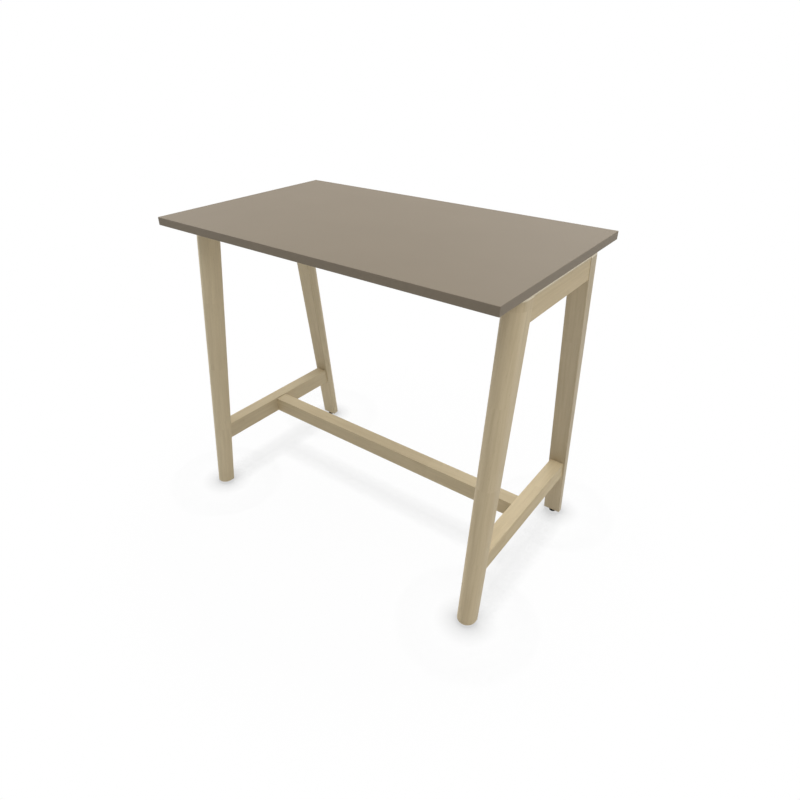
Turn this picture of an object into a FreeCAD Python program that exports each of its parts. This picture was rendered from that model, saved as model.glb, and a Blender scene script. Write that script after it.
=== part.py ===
import FreeCAD, Part
import os
import re
import Sketcher

# High table: a laminated board on two splayed end frames that one stretcher joins near the floor.
# Millimetres, +X along the board, +Y towards the back, +Z up, origin on the floor below the board's centre.

SIZES = {
    # Board: chipboard core, laminate on both faces, edge band on all four sides
    "top_length": 1200,
    "top_depth": 706,
    "top_thickness": 25,
    "table_height": 1050,
    "laminate_thickness": 0.8,
    "edge_band_thickness": 2,
    "edge_band_round": 1.8,
    # Legs: flat on the inner side, half round on the outer side, leaning in towards the board
    "leg_width": 60,
    "leg_inset": 4.5,
    "leg_lean": 7,
    "leg_foot_inset": 11,
    "leg_head_depth": 65,
    "leg_end_depth": 44,
    "leg_edge_round": 2,
    "leg_end_chamfer": 1.5,
    "head_round": 8,
    # Top rails, between the leg heads
    "top_rail_height": 75,
    "top_rail_width": 48,
    "top_rail_inset": 2,
    # Foot rails, and the stretcher that lies a little lower than they do
    "foot_rail_height": 60,
    "foot_rail_width": 48,
    "foot_rail_level": 253.5,
    "stretcher_width": 50,
    "stretcher_height": 55.5,
    "stretcher_drop": 3,
    "rail_edge_round": 1.5,
    # Dowels that join the rails to the legs
    "frame_dowel_diameter": 10,
    "frame_dowel_length": 50,
    "top_rail_dowel_spacing": 36,
    "foot_rail_dowel_spacing": 30,
    "dowel_chamfer": 1,
    "dowel_end_gap": 1,
    # Dowels that line the stretcher up with the foot rails
    "stretcher_dowel_diameter": 8,
    "stretcher_dowel_length": 40,
    "stretcher_dowel_spacing": 28,
    "stretcher_dowel_depth": 18,
    # Cam fittings that pull the stretcher against the foot rails, worked from below
    "cam_diameter": 15,
    "cam_height": 20,
    "cam_bolt_axis": 14.5,
    "cam_setback": 34,
    "cam_bolt_diameter": 7,
    "cam_bolt_bore": 8,
    "cam_bolt_head": 2.5,
    "cam_bolt_neck": 3.5,
    "cam_bolt_neck_diameter": 5,
    "cam_bolt_gap": 2,
    "cam_thread_diameter": 6,
    "cam_thread_length": 11,
    "cam_slot_width": 3,
    "cam_slot_depth": 2,
    # Screws from below through the top rails, into threaded inserts in the board
    "screw_diameter": 6,
    "screw_length": 42,
    "screw_head_diameter": 11,
    "screw_head_height": 4,
    "screw_socket_width": 4,
    "screw_socket_depth": 2.2,
    "screw_end_distance": 63,
    "screw_seat": 30,
    "screw_hole": 7,
    "screw_counterbore": 16,
    "washer_diameter": 14,
    "washer_hole": 6.6,
    "washer_thickness": 1.2,
    "top_insert_diameter": 10,
    "top_insert_length": 12,
    # Levellers: a sleeve in each leg end, a hexagon stud in it, a swivelling pad with a soft sole
    "glide_height": 9,
    "leg_insert_diameter": 12,
    "leg_insert_length": 25,
    "stud_diameter": 8,
    "stud_end_gap": 0.5,
    "stud_end_chamfer": 1,
    "stud_foot_diameter": 13,
    "stud_foot_height": 2,
    "hexagon_width": 13,
    "pad_diameter": 25,
    "pad_height": 5,
    "pad_round": 1.2,
    "pad_floor": 0.6,
    "sole_diameter": 20,
    "sole_thickness": 1.2,
    "sole_proud": 0.3,
    # Fits
    "fit_clearance": 0.05,
    "running_clearance": 0.05,
    "moving_gap": 0.3,
    "cut_overrun": 3,
    "same_place": 0.001,
}

# Places and sizes that follow from the driving ones, as spreadsheet formulas.
PLACES = {
    "top_underside": "table_height - top_thickness",
    "half_length": "top_length / 2",
    "half_depth": "top_depth / 2",
    "core_length": "top_length - 2 * edge_band_thickness",
    "core_depth": "top_depth - 2 * edge_band_thickness",
    "core_thickness": "top_thickness - 2 * laminate_thickness",
    "half_core_length": "core_length / 2",
    "half_core_depth": "core_depth / 2",
    "core_floor": "top_underside + laminate_thickness",
    "laminate_floor": "table_height - laminate_thickness",
    "band_cut_length": "top_length + 2 * cut_overrun",
    "half_band_cut_length": "band_cut_length / 2",
    "band_cut_height": "top_thickness + 2 * cut_overrun",
    "band_cut_floor": "top_underside - cut_overrun",
    "band_cut_thickness": "edge_band_thickness + cut_overrun",
    "front_band_start": "-half_depth - cut_overrun",
    "left_band_start": "-half_length - cut_overrun",
    "half_leg_width": "leg_width / 2",
    "frame_axis": "half_length - leg_inset - half_leg_width",
    "leg_spread": "half_depth - leg_foot_inset - leg_end_depth",
    "leg_length": "top_underside - glide_height",
    "leg_run": "-leg_length * tan(leg_lean)",
    "leg_head_outer": "leg_run + leg_head_depth",
    "leg_outer_lean": "atan((leg_end_depth - leg_head_outer) / leg_length)",
    "leg_axis_depth": "leg_end_depth * cos(leg_outer_lean) - half_leg_width",
    "leg_blank_inner": "leg_axis_depth - leg_head_depth",
    "leg_blank_up": "leg_length + leg_width",
    "leg_trim_reach": "leg_head_depth - leg_run",
    "leg_trim_top": "leg_length + leg_trim_reach",
    "top_rail_level": "top_underside",
    "top_rail_axis": "half_length - leg_inset - top_rail_inset - top_rail_width / 2",
    "top_rail_screw_line": "frame_axis - top_rail_axis",
    "half_top_rail_width": "top_rail_width / 2",
    "half_foot_rail_width": "foot_rail_width / 2",
    "half_stretcher_width": "stretcher_width / 2",
    "half_stretcher_length": "frame_axis - half_foot_rail_width",
    "stretcher_length": "2 * half_stretcher_length",
    "stretcher_level": "foot_rail_level - stretcher_drop",
    "stretcher_floor": "stretcher_level - stretcher_height",
    "frame_dowel_radius": "frame_dowel_diameter / 2",
    "frame_dowel_bore": "frame_dowel_radius + fit_clearance",
    "frame_dowel_bore_depth": "frame_dowel_length / 2 + dowel_end_gap",
    "frame_dowel_cut": "frame_dowel_bore_depth + cut_overrun",
    "stretcher_dowel_radius": "stretcher_dowel_diameter / 2",
    "stretcher_dowel_bore": "stretcher_dowel_radius + fit_clearance",
    "stretcher_dowel_bore_depth": "stretcher_dowel_length / 2 + dowel_end_gap",
    "stretcher_dowel_line": "stretcher_dowel_spacing / 2",
    "stretcher_dowel_level": "stretcher_level - stretcher_dowel_depth",
    "stretcher_dowel_drop": "foot_rail_level - stretcher_dowel_level",
    "cam_radius": "cam_diameter / 2",
    "cam_bore": "cam_radius + fit_clearance",
    "cam_line": "half_stretcher_length - cam_setback",
    "cam_bolt_level": "stretcher_floor + cam_bolt_axis",
    "cam_bolt_depth": "stretcher_level - cam_bolt_level",
    "cam_bolt_drop": "foot_rail_level - cam_bolt_level",
    "cam_bolt_radius": "cam_bolt_diameter / 2",
    "cam_bolt_bore_radius": "cam_bolt_bore / 2",
    "cam_bolt_neck_radius": "cam_bolt_neck_diameter / 2",
    "cam_bolt_end": "cam_bolt_gap - cam_setback",
    "cam_bolt_neck_low": "cam_bolt_end + cam_bolt_head",
    "cam_bolt_neck_high": "cam_bolt_neck_low + cam_bolt_neck",
    "cam_thread_radius": "cam_thread_diameter / 2",
    "cam_thread_bore": "cam_thread_radius + fit_clearance",
    "cam_thread_bore_depth": "cam_thread_length + dowel_end_gap",
    "cam_cross_cut": "cam_radius + cut_overrun",
    "cam_slot_half_width": "cam_slot_width / 2",
    "screw_row_end": "top_rail_half_top - screw_end_distance",
    "screw_radius": "screw_diameter / 2",
    "screw_head_radius": "screw_head_diameter / 2",
    "screw_hole_radius": "screw_hole / 2",
    "screw_counterbore_radius": "screw_counterbore / 2",
    "screw_counterbore_depth": "top_rail_height - screw_seat",
    "washer_radius": "washer_diameter / 2",
    "washer_hole_radius": "washer_hole / 2",
    "washer_level": "top_underside - screw_seat - washer_thickness",
    "screw_socket_radius": "screw_socket_width / sqrt(3)",
    "top_insert_radius": "top_insert_diameter / 2",
    "top_insert_bore": "top_insert_radius + fit_clearance",
    "top_insert_core_depth": "top_insert_length - laminate_thickness",
    "top_insert_thread": "screw_radius + fit_clearance",
    "leveller_offset": "leg_end_depth - half_leg_width",
    "leveller_line": "leg_spread + leveller_offset",
    "leg_insert_radius": "leg_insert_diameter / 2",
    "leg_insert_bore": "leg_insert_radius + fit_clearance",
    "stud_radius": "stud_diameter / 2",
    "leg_insert_thread": "stud_radius + running_clearance",
    "stud_foot_radius": "stud_foot_diameter / 2",
    "stud_foot_low": "pad_seat + running_clearance",
    "stud_foot_high": "stud_foot_low + stud_foot_height",
    "stud_end": "glide_height + leg_insert_length - stud_end_gap",
    "stud_end_shoulder": "stud_end - stud_end_chamfer",
    "stud_end_radius": "stud_radius - stud_end_chamfer",
    "hexagon_radius": "hexagon_width / sqrt(3)",
    "hexagon_low": "pad_height + moving_gap",
    "hexagon_height": "glide_height - moving_gap - hexagon_low",
    "pad_radius": "pad_diameter / 2",
    "pad_seat": "sole_thickness + pad_floor",
    "pad_socket_radius": "stud_foot_radius + running_clearance",
    "pad_socket_high": "stud_foot_high + running_clearance",
    "pad_neck_radius": "stud_radius + running_clearance",
    "sole_radius": "sole_diameter / 2",
    "pad_recess_radius": "sole_radius + fit_clearance",
}

# The two dowels of each joint between a leg and a rail, and the rail's slanted ends.
for rail_kind in ("top_rail", "foot_rail"):
    PLACES[f"{rail_kind}_low_face"] = f"{rail_kind}_level - {rail_kind}_height"
    PLACES[f"{rail_kind}_half_top"] = f"leg_spread - ({rail_kind}_level - glide_height) * tan(leg_lean)"
    PLACES[f"{rail_kind}_half_low"] = f"leg_spread - ({rail_kind}_low_face - glide_height) * tan(leg_lean)"
    for row, sign in (("high", "-"), ("low", "+")):
        dowel = f"{rail_kind}_{row}"
        PLACES[f"{dowel}_drop"] = f"({rail_kind}_height {sign} {rail_kind}_dowel_spacing) / 2"
        PLACES[f"{dowel}_level"] = f"{rail_kind}_level - {dowel}_drop"
        PLACES[f"{dowel}_leg_height"] = f"{dowel}_level - glide_height"
        PLACES[f"{dowel}_joint"] = f"leg_spread - {dowel}_leg_height * tan(leg_lean)"
        PLACES[f"{dowel}_rail_bore"] = f"{dowel}_joint - frame_dowel_bore_depth"
        PLACES[f"{dowel}_leg_bore"] = f"leg_spread - {dowel}_joint - frame_dowel_bore_depth"

X_AXIS = FreeCAD.Vector(1, 0, 0)
Y_AXIS = FreeCAD.Vector(0, 1, 0)
Z_AXIS = FreeCAD.Vector(0, 0, 1)
UPRIGHT = FreeCAD.Rotation()
TURNED_BACK = FreeCAD.Rotation(Z_AXIS, 180)
ALONG_Y = FreeCAD.Rotation(X_AXIS, 90)
ALONG_X = FreeCAD.Rotation(Y_AXIS, 90)
AGAINST_X = FreeCAD.Rotation(Y_AXIS, -90)

doc = FreeCAD.newDocument("HighTable")
SUB_PARTS = []


def make_sheet(name, texts):
    sheet = doc.addObject("Spreadsheet::Sheet", name)
    for row, (alias, text) in enumerate(texts.items(), start=1):
        sheet.set(f"A{row}", alias)
        sheet.set(f"B{row}", text)
        sheet.setAlias(f"B{row}", alias)
    doc.recompute()
    return sheet


def formula(text):
    return "=" + re.sub(r"[a-z_]+", lambda word: f"Sizes.{word[0]}" if word[0] in SIZES else word[0], text)


sizes = make_sheet("Sizes", {alias: str(size) for alias, size in SIZES.items()})
places = make_sheet("Places", {alias: formula(text) for alias, text in PLACES.items()})


def cell(term):
    # A term is an alias of either sheet, with a minus sign where the value is turned round.
    alias = term.lstrip("-")
    sheet = "Sizes" if alias in SIZES else "Places"
    return f"{term[:len(term) - len(alias)]}{sheet}.{alias}"


def number(term):
    if term == "0":
        return 0
    alias = term.lstrip("-")
    sheet = sizes if alias in SIZES else places
    return -sheet.get(alias) if term.startswith("-") else sheet.get(alias)


def bind(thing, path, term):
    if term != "0":
        thing.setExpression(path, cell(term))


def place(thing, x="0", y="0", z="0", rotation=UPRIGHT):
    thing.Placement = FreeCAD.Placement(FreeCAD.Vector(), rotation)
    for axis, term in (("x", x), ("y", y), ("z", z)):
        bind(thing, f"Placement.Base.{axis}", term)
    return thing


def sub_part(thing, label):
    thing.Label = label
    SUB_PARTS.append(thing)
    return thing


def new_body(name):
    return doc.addObject("PartDesign::Body", f"{name}_body")


def new_sketch(body, name, role, **shift):
    plane = next(feature for feature in body.Origin.OriginFeatures if feature.Role == role)
    sketch = body.newObject("Sketcher::SketchObject", name)
    sketch.AttachmentSupport = [(plane, "")]
    sketch.MapMode = "FlatFace"
    for axis, term in shift.items():
        bind(sketch, f"AttachmentOffset.Base.{axis}", term)
    return sketch


def dimension(sketch, constraint, term):
    index = sketch.addConstraint(constraint)
    sketch.setExpression(f"Constraints[{index}]", cell(term))


def pin(sketch, geometry, point, x, y):
    # Holds one point of a sketch at two dimensions from the sketch's origin.
    for kind, term, axis in (("DistanceX", x, -2), ("DistanceY", y, -1)):
        if term == "0":
            sketch.addConstraint(Sketcher.Constraint("PointOnObject", geometry, point, axis))
        else:
            dimension(sketch, Sketcher.Constraint(kind, -1, 1, geometry, point, number(term)), term)


def draw_outline(sketch, corners):
    points = [FreeCAD.Vector(number(x), number(y), 0) for x, y in corners]
    ends = points[1:] + points[:1]
    sides = [sketch.addGeometry(Part.LineSegment(*pair), False) for pair in zip(points, ends)]
    for side, (x, y) in zip(sides, corners):
        pin(sketch, side, 1, x, y)
    for side, following in zip(sides, sides[1:] + sides[:1]):
        sketch.addConstraint(Sketcher.Constraint("Coincident", side, 2, following, 1))


def draw_circles(sketch, centres, radius):
    for x, y in centres:
        circle = Part.Circle(FreeCAD.Vector(number(x), number(y), 0), Z_AXIS, number(radius))
        index = sketch.addGeometry(circle, False)
        pin(sketch, index, 3, x, y)
        dimension(sketch, Sketcher.Constraint("Radius", index, number(radius)), radius)


def draw_hexagon(sketch, radius):
    # A regular hexagon about the sketch's origin, with two corners on the horizontal axis.
    circle = sketch.addGeometry(Part.Circle(FreeCAD.Vector(), Z_AXIS, number(radius)), True)
    sketch.addConstraint(Sketcher.Constraint("Coincident", circle, 3, -1, 1))
    dimension(sketch, Sketcher.Constraint("Radius", circle, number(radius)), radius)
    corner = FreeCAD.Vector(number(radius), 0, 0)
    points = [FreeCAD.Rotation(Z_AXIS, 60 * turn).multVec(corner) for turn in range(6)]
    sides = [sketch.addGeometry(Part.LineSegment(points[turn - 1], points[turn]), False) for turn in range(6)]
    for turn, side in enumerate(sides):
        sketch.addConstraint(Sketcher.Constraint("Coincident", sides[turn - 1], 2, side, 1))
        sketch.addConstraint(Sketcher.Constraint("PointOnObject", side, 1, circle))
        if turn:
            sketch.addConstraint(Sketcher.Constraint("Equal", sides[0], side))
    sketch.addConstraint(Sketcher.Constraint("PointOnObject", sides[0], 2, -1))


def pad(body, sketch, length, symmetric=False):
    feature = body.newObject("PartDesign::Pad", f"{sketch.Name}_pad")
    feature.Profile = sketch
    feature.SideType = "Symmetric" if symmetric else "One side"
    bind(feature, "Length", length)
    sketch.Visibility = False
    doc.recompute()
    return feature


def pocket(body, sketch, depth, along_normal=False):
    feature = body.newObject("PartDesign::Pocket", f"{sketch.Name}_pocket")
    feature.Profile = sketch
    feature.Reversed = along_normal
    bind(feature, "Length", depth)
    sketch.Visibility = False
    doc.recompute()
    return feature


def find_edges(feature, wanted):
    return [f"Edge{index}" for index, edge in enumerate(feature.Shape.Edges, start=1) if wanted(edge)]


def soften(body, kind, name, wanted, property_name, term):
    # Rounds or bevels the wanted edges of the body's last feature.
    base = body.Tip
    feature = body.newObject(f"PartDesign::{kind}", name)
    feature.Base = (base, find_edges(base, wanted))
    bind(feature, property_name, term)
    doc.recompute()
    return feature


def near(value, target):
    return abs(value - target) < SIZES["same_place"]


def box(name, length, width, height, x, y, z):
    solid = doc.addObject("Part::Box", name)
    bind(solid, "Length", length)
    bind(solid, "Width", width)
    bind(solid, "Height", height)
    return place(solid, x, y, z)


def turned(name, outline):
    # A round piece about its own Z axis, from its half outline of radius and height.
    body = new_body(name)
    sketch = new_sketch(body, f"{name}_outline", "XZ_Plane")
    draw_outline(sketch, outline)
    feature = body.newObject("PartDesign::Revolution", f"{name}_revolution")
    feature.Profile = sketch
    feature.ReferenceAxis = (sketch, ["V_Axis"])
    sketch.Visibility = False
    doc.recompute()
    return body


def group(label, body, spots):
    # Identical pieces in one sub-part, each a copy of the body at its own spot.
    copies = []
    for index, (x, y, z, rotation) in enumerate(spots, start=1):
        copy = doc.addObject("App::Link", f"{label}_{index}")
        copy.LinkedObject = body
        copies.append(place(copy, x, y, z, rotation))
    compound = doc.addObject("Part::Compound", f"{label}_group")
    compound.Links = copies
    return sub_part(compound, label)


# Screw places: three in a row along each top rail.
SCREW_ROW = ("-screw_row_end", "0", "screw_row_end")
SCREW_SPOTS = [(x, y) for x in ("-frame_axis", "frame_axis") for y in SCREW_ROW]
FRAME_SIDES = (("left", "-", TURNED_BACK), ("right", "", UPRIGHT))
LEG_SIDES = (("back", "", UPRIGHT), ("front", "-", TURNED_BACK))


def make_board():
    core = new_body("top_core")
    sketch = new_sketch(core, "core_outline", "XY_Plane")
    corners = (("-", "-"), ("", "-"), ("", ""), ("-", ""))
    draw_outline(sketch, [(f"{x}half_core_length", f"{y}half_core_depth") for x, y in corners])
    pad(core, sketch, "core_thickness")
    sketch = new_sketch(core, "core_insert_bores", "XY_Plane")
    draw_circles(sketch, SCREW_SPOTS, "top_insert_bore")
    pocket(core, sketch, "top_insert_core_depth", along_normal=True)
    sub_part(place(core, z="core_floor"), "top_core")

    sheet_place = ("core_length", "core_depth", "laminate_thickness", "-half_core_length", "-half_core_depth")
    sub_part(box("upper_laminate_sheet", *sheet_place, "laminate_floor"), "upper_laminate")

    lower = new_body("lower_laminate")
    sketch = new_sketch(lower, "lower_laminate_outline", "XY_Plane")
    draw_outline(sketch, [(f"{x}half_core_length", f"{y}half_core_depth") for x, y in corners])
    draw_circles(sketch, SCREW_SPOTS, "top_insert_bore")
    pad(lower, sketch, "laminate_thickness")
    sub_part(place(lower, z="top_underside"), "lower_laminate")

    # The bands are the outermost strips of a board with rounded edges.
    blank = box("board_blank", "top_length", "top_depth", "top_thickness",
                "-half_length", "-half_depth", "top_underside")
    doc.recompute()
    rounded = doc.addObject("Part::Fillet", "board_rounded")
    rounded.Base = blank
    radius = number("edge_band_round")
    rounded.Edges = [(index, radius, radius) for index in range(1, len(blank.Shape.Edges) + 1)]
    strips = (
        ("front", "band_cut_length", "band_cut_thickness", "-half_band_cut_length", "front_band_start"),
        ("back", "band_cut_length", "band_cut_thickness", "-half_band_cut_length", "half_core_depth"),
        ("left", "band_cut_thickness", "core_depth", "left_band_start", "-half_core_depth"),
        ("right", "band_cut_thickness", "core_depth", "half_core_length", "-half_core_depth"),
    )
    for side, length, width, x, y in strips:
        strip = box(f"{side}_strip", length, width, "band_cut_height", x, y, "band_cut_floor")
        band = doc.addObject("Part::Common", f"edge_band_{side}_cut")
        band.Base = rounded
        band.Tool = strip
        sub_part(band, f"edge_band_{side}")


def draw_leg_section(sketch):
    # A half round about the leg's axis, with two straight sides that run on past the flat face.
    half = number("half_leg_width")
    axis_y, inner_y = number("leg_axis_depth"), number("leg_blank_inner")
    corner_left, corner_right = FreeCAD.Vector(-half, inner_y, 0), FreeCAD.Vector(half, inner_y, 0)
    shoulder_left, shoulder_right = FreeCAD.Vector(-half, axis_y, 0), FreeCAD.Vector(half, axis_y, 0)
    crown = FreeCAD.Vector(0, axis_y + half, 0)
    sketch.addGeometry(Part.LineSegment(corner_left, corner_right), False)
    sketch.addGeometry(Part.LineSegment(corner_right, shoulder_right), False)
    sketch.addGeometry(Part.Arc(shoulder_right, crown, shoulder_left), False)
    sketch.addGeometry(Part.LineSegment(shoulder_left, corner_left), False)
    for first in range(4):
        sketch.addConstraint(Sketcher.Constraint("Coincident", first, 2, (first + 1) % 4, 1))
    pin(sketch, 0, 1, "-half_leg_width", "leg_blank_inner")
    pin(sketch, 0, 2, "half_leg_width", "leg_blank_inner")
    pin(sketch, 1, 2, "half_leg_width", "leg_axis_depth")
    pin(sketch, 3, 1, "-half_leg_width", "leg_axis_depth")
    dimension(sketch, Sketcher.Constraint("DistanceY", -1, 1, 2, 3, axis_y), "leg_axis_depth")


def make_leg(label, x, y, rotation):
    # Built from its end on the floor side, with the flat face's foot at the origin and +Y outwards:
    # a half-round bar along the outer side, cut to the flat face, the head and the end.
    body = new_body(label)
    sketch = new_sketch(body, f"{label}_section", "XY_Plane")
    sketch.AttachmentOffset = FreeCAD.Placement(FreeCAD.Vector(), FreeCAD.Rotation(X_AXIS, SIZES["leg_lean"]))
    sketch.setExpression("AttachmentOffset.Rotation.Angle", cell("leg_outer_lean"))
    draw_leg_section(sketch)
    bar = body.newObject("PartDesign::Pad", f"{label}_bar")
    bar.Profile = sketch
    bar.SideType = "Two sides"
    bind(bar, "Length", "leg_blank_up")
    bind(bar, "Length2", "leg_width")
    sketch.Visibility = False
    doc.recompute()

    sketch = new_sketch(body, f"{label}_trim", "YZ_Plane")
    draw_outline(sketch, [("0", "0"), ("leg_end_depth", "0"), ("leg_head_outer", "leg_length"),
                          ("leg_run", "leg_length")])
    draw_outline(sketch, [("-leg_trim_reach", "-leg_trim_reach"), ("leg_trim_reach", "-leg_trim_reach"),
                          ("leg_trim_reach", "leg_trim_top"), ("-leg_trim_reach", "leg_trim_top")])
    trim = body.newObject("PartDesign::Pocket", f"{label}_trim_pocket")
    trim.Profile = sketch
    trim.SideType = "Symmetric"
    bind(trim, "Length", "leg_trim_reach")
    sketch.Visibility = False
    doc.recompute()

    top, flat_top = number("leg_length"), number("leg_run")

    def head_outline(edge):
        middle = edge.valueAt((edge.FirstParameter + edge.LastParameter) / 2)
        return near(edge.BoundBox.ZMin, top) and not near(middle.y, flat_top)

    def flat_corner(edge):
        corner = edge.Vertexes[0]
        return edge.BoundBox.ZLength > top / 2 and near(corner.Y, corner.Z * flat_top / top)

    def end_outline(edge):
        return near(edge.BoundBox.ZMax, 0)

    soften(body, "Fillet", f"{label}_head_round", head_outline, "Radius", "head_round")
    soften(body, "Fillet", f"{label}_edge_round", flat_corner, "Radius", "leg_edge_round")
    soften(body, "Chamfer", f"{label}_end_chamfer", end_outline, "Size", "leg_end_chamfer")

    for dowel in ("top_rail_high", "top_rail_low", "foot_rail_high", "foot_rail_low"):
        sketch = new_sketch(body, f"{label}_{dowel}_bore", "XZ_Plane", z=f"{dowel}_leg_bore")
        draw_circles(sketch, [("0", f"{dowel}_leg_height")], "frame_dowel_bore")
        pocket(body, sketch, "frame_dowel_cut", along_normal=True)
    sketch = new_sketch(body, f"{label}_insert_bore", "XY_Plane")
    draw_circles(sketch, [("0", "leveller_offset")], "leg_insert_bore")
    pocket(body, sketch, "leg_insert_length", along_normal=True)
    return sub_part(place(body, x, y, "glide_height", rotation), label)


def make_rail(label, kind):
    # Built with its upper face on the origin and +X outwards; both ends follow the legs' lean.
    body = new_body(label)
    sketch = new_sketch(body, f"{label}_side", "YZ_Plane")
    top, low, depth = f"{kind}_half_top", f"{kind}_half_low", f"-{kind}_height"
    draw_outline(sketch, [(f"-{top}", "0"), (top, "0"), (low, depth), (f"-{low}", depth)])
    pad(body, sketch, f"{kind}_width", symmetric=True)
    half_width = number(f"half_{kind}_width")

    def upper_outer(edge):
        bounds = edge.BoundBox
        return near(bounds.ZMin, 0) and near(bounds.XMin, half_width)

    def runs_along(edge):
        bounds = edge.BoundBox
        return near(bounds.XLength, 0) and near(bounds.ZLength, 0)

    def other_long(edge):
        return runs_along(edge) and not upper_outer(edge) and abs(edge.BoundBox.XMin) > half_width / 2

    if kind == "top_rail":
        soften(body, "Fillet", f"{label}_edge_round", other_long, "Radius", "rail_edge_round")
        soften(body, "Fillet", f"{label}_head_round", upper_outer, "Radius", "head_round")
    else:
        soften(body, "Fillet", f"{label}_edge_round", runs_along, "Radius", "rail_edge_round")

    for row in ("high", "low"):
        dowel = f"{kind}_{row}"
        for end, sign, reverse in (("back", "-", False), ("front", "", True)):
            sketch = new_sketch(body, f"{label}_{row}_{end}_bore", "XZ_Plane", z=f"{sign}{dowel}_rail_bore")
            across = f"{kind}_screw_line" if kind == "top_rail" else "0"
            draw_circles(sketch, [(across, f"-{dowel}_drop")], "frame_dowel_bore")
            pocket(body, sketch, "frame_dowel_cut", along_normal=reverse)
    return body


def make_top_rail(label, x, rotation):
    body = make_rail(label, "top_rail")
    spots = [("top_rail_screw_line", y) for y in SCREW_ROW]
    sketch = new_sketch(body, f"{label}_screw_holes", "XY_Plane")
    draw_circles(sketch, spots, "screw_hole_radius")
    pocket(body, sketch, "top_rail_height")
    sketch = new_sketch(body, f"{label}_counterbores", "XY_Plane", z="-top_rail_height")
    draw_circles(sketch, spots, "screw_counterbore_radius")
    pocket(body, sketch, "screw_counterbore_depth", along_normal=True)
    sub_part(place(body, x, "0", "top_rail_level", rotation), label)


def stretcher_dowel_spots(depth):
    # The two dowels side by side, at a depth below the upper face of the piece they are bored into.
    return [(f"{sign}stretcher_dowel_line", f"-{depth}") for sign in ("-", "")]


def make_foot_rail(label, x, rotation):
    body = make_rail(label, "foot_rail")
    sketch = new_sketch(body, f"{label}_stretcher_dowel_bores", "YZ_Plane", z="-half_foot_rail_width")
    draw_circles(sketch, stretcher_dowel_spots("stretcher_dowel_drop"), "stretcher_dowel_bore")
    pocket(body, sketch, "stretcher_dowel_bore_depth", along_normal=True)
    sketch = new_sketch(body, f"{label}_cam_bolt_bore", "YZ_Plane", z="-half_foot_rail_width")
    draw_circles(sketch, [("0", "-cam_bolt_drop")], "cam_thread_bore")
    pocket(body, sketch, "cam_thread_bore_depth", along_normal=True)
    sub_part(place(body, x, "0", "foot_rail_level", rotation), label)


def make_stretcher():
    body = new_body("stretcher")
    sketch = new_sketch(body, "stretcher_section", "YZ_Plane")
    half, depth = "half_stretcher_width", "-stretcher_height"
    draw_outline(sketch, [(f"-{half}", "0"), (half, "0"), (half, depth), (f"-{half}", depth)])
    pad(body, sketch, "stretcher_length", symmetric=True)

    def long_edge(edge):
        return edge.BoundBox.XLength > number("half_stretcher_length")

    soften(body, "Fillet", "stretcher_edge_round", long_edge, "Radius", "rail_edge_round")
    for end, sign, inwards in (("left", "-", True), ("right", "", False)):
        face = f"{sign}half_stretcher_length"
        sketch = new_sketch(body, f"stretcher_{end}_dowel_bores", "YZ_Plane", z=face)
        draw_circles(sketch, stretcher_dowel_spots("stretcher_dowel_depth"), "stretcher_dowel_bore")
        pocket(body, sketch, "stretcher_dowel_bore_depth", along_normal=inwards)
        sketch = new_sketch(body, f"stretcher_{end}_cam_bolt_bore", "YZ_Plane", z=face)
        draw_circles(sketch, [("0", "-cam_bolt_depth")], "cam_bolt_bore_radius")
        pocket(body, sketch, "cam_setback", along_normal=inwards)
    sketch = new_sketch(body, "stretcher_cam_bores", "XY_Plane", z="-stretcher_height")
    draw_circles(sketch, [("-cam_line", "0"), ("cam_line", "0")], "cam_bore")
    pocket(body, sketch, "cam_height", along_normal=True)
    sub_part(place(body, z="stretcher_level"), "stretcher")


def make_dowel(name, radius, length):
    # A round pin centred on the origin, bevelled at both ends.
    body = new_body(name)
    sketch = new_sketch(body, f"{name}_section", "XY_Plane")
    draw_circles(sketch, [("0", "0")], radius)
    pad(body, sketch, length, symmetric=True)

    def rim(edge):
        return near(edge.BoundBox.ZLength, 0)

    soften(body, "Chamfer", f"{name}_ends", rim, "Size", "dowel_chamfer")
    return body


def make_dowels():
    pin_body = make_dowel("frame_dowel", "frame_dowel_radius", "frame_dowel_length")
    for kind in ("top_rail", "foot_rail"):
        spots = []
        for row in ("high", "low"):
            for frame_sign in ("-", ""):
                for leg_sign in ("-", ""):
                    joint = f"{leg_sign}{kind}_{row}_joint"
                    spots.append((f"{frame_sign}frame_axis", joint, f"{kind}_{row}_level", ALONG_Y))
        group(f"{kind}_dowels", pin_body, spots)
    pin_body = make_dowel("stretcher_dowel", "stretcher_dowel_radius", "stretcher_dowel_length")
    spots = []
    for end_sign in ("-", ""):
        for line_sign in ("-", ""):
            spots.append((f"{end_sign}half_stretcher_length", f"{line_sign}stretcher_dowel_line",
                          "stretcher_dowel_level", ALONG_X))
    group("stretcher_dowels", pin_body, spots)


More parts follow.
